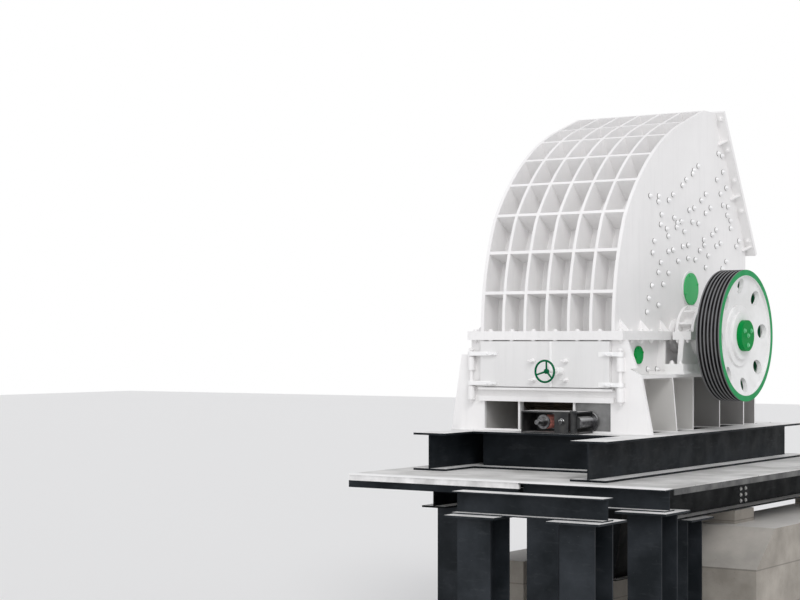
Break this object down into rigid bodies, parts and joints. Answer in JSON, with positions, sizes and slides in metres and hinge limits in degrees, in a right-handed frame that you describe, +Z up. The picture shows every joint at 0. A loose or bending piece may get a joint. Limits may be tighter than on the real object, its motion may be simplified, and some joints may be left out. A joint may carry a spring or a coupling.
{
  "type": "hammer crusher on a steel platform",
  "caption": "Heavy hammer crusher with a ribbed curved hood, double front doors, a grooved drive pulley and a hammer rotor, on a beam frame, steel platform and piers.",
  "frame": {"origin": "on the ground, under the centre of the whole plan", "axes": "+X towards the drive pulley, +Y from the doors to the feed inlet, +Z up"},
  "size_m": [3.77, 7.3, 6.2686],
  "materials": {
    "casing_white": "white machine enamel, semi-gloss",
    "beam_black": "black structural paint, dusty",
    "deck_steel": "dusty bare steel plate",
    "concrete": "cast concrete, form marks",
    "cover_green": "green machine enamel",
    "spring_red": "red painted spring steel",
    "shaft_steel": "turned steel",
    "rotor_steel": "worn steel plate",
    "hammer_steel": "worn manganese steel",
    "pulley_iron": "cast pulley with a painted web"
  },
  "bodies": {
    "base": {"pier_left": "concrete", "pier_right": "concrete", "front_columns": "beam_black", "second_columns": "beam_black", "third_columns": "beam_black", "front_bent_beam": "beam_black", "second_bent_beam": "beam_black", "girder_left": "beam_black", "girder_right": "beam_black", "floor_joists": "beam_black", "deck_plate": "deck_steel", "deck_edge": "beam_black", "discharge_hopper": "beam_black", "base_beam_left": "beam_black", "base_beam_right": "beam_black", "base_cross_beams": "beam_black", "lower_side_left": "casing_white", "lower_side_right": "casing_white", "lower_front": "casing_white", "lower_rear": "casing_white", "pedestal_left": "casing_white", "pedestal_right": "casing_white", "discharge_grate": "rotor_steel", "adjuster_bracket": "beam_black", "adjuster_spring": "spring_red", "hinge_pins": "casing_white", "lower_flange": "casing_white", "upper_flange": "casing_white", "upper_side_left": "casing_white", "upper_side_right": "casing_white", "hood_shell": "casing_white", "upper_rear": "casing_white", "inlet_flange": "casing_white", "round_covers": "cover_green", "bearing_base_left": "casing_white", "bearing_base_right": "casing_white", "bearing_cap_left": "casing_white", "bearing_cap_right": "casing_white"},
    "rotor": {"rotor_shaft": "shaft_steel", "rotor_discs": "rotor_steel", "hammer_pins": "rotor_steel", "hammers": "hammer_steel", "pulley": "pulley_iron", "pulley_cap": "cover_green"},
    "door_left": {"door_left": "casing_white"},
    "door_right": {"door_right": "casing_white"},
    "handwheel": {"handwheel": "cover_green"}
  },
  "joints": [
    {"name": "rotor_spin", "type": "hinge", "parent": "base", "child": "rotor", "pos_m": [-0.535, 1.06, 3.64], "axis": [1, 0, 0], "continuous": true},
    {"name": "door_left_swing", "type": "hinge", "parent": "base", "child": "door_left", "pos_m": [-1.455, -0.452, 3.3], "axis": [0, 0, -1], "range_deg": [0, 110]},
    {"name": "door_right_swing", "type": "hinge", "parent": "base", "child": "door_right", "pos_m": [0.385, -0.452, 3.3], "axis": [0, 0, 1], "range_deg": [0, 110]},
    {"name": "handwheel_spin", "type": "hinge", "parent": "door_right", "child": "handwheel", "pos_m": [-0.325, -0.802, 3.26], "axis": [0, -1, 0], "continuous": true}
  ]
}
